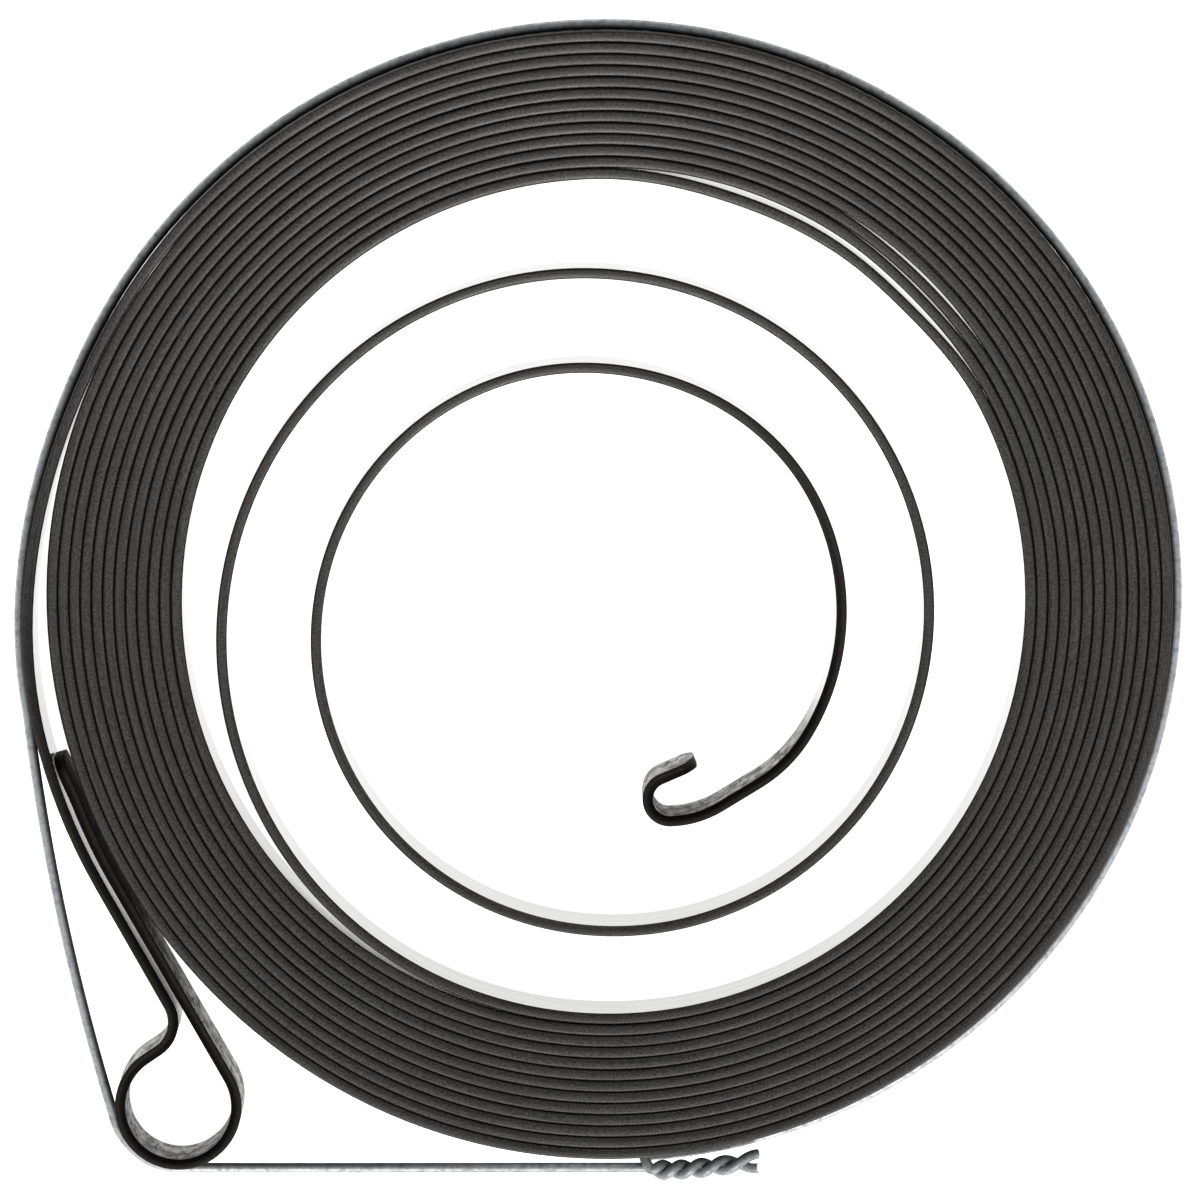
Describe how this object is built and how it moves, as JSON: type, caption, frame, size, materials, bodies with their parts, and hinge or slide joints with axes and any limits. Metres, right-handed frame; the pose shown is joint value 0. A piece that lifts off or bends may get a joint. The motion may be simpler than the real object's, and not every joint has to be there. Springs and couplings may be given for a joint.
{
  "type": "recoil starter spring",
  "caption": "Flat steel strip wound into a tight spiral pack with an inner hook and an outer eye, kept wound by a twisted tie wire, for rewinding a pull-start pulley.",
  "frame": {"origin": "on the winding axis, at the lower edges of the strip", "axes": "+Z along the winding axis, from the edges that the spring rests on to those seen in the picture; from +Z the strip winds outward anticlockwise; +X to the right and +Y to the top of the picture, with the eye at the lower left"},
  "size_m": [0.0662, 0.0659, 0.006],
  "materials": {
    "spring_steel": "dark rolled spring steel, with bright wide faces",
    "zinc_wire": "galvanised"
  },
  "bodies": {
    "root": {"spring_strip": "spring_steel", "tie_wire": "zinc_wire"}
  },
  "joints": []
}
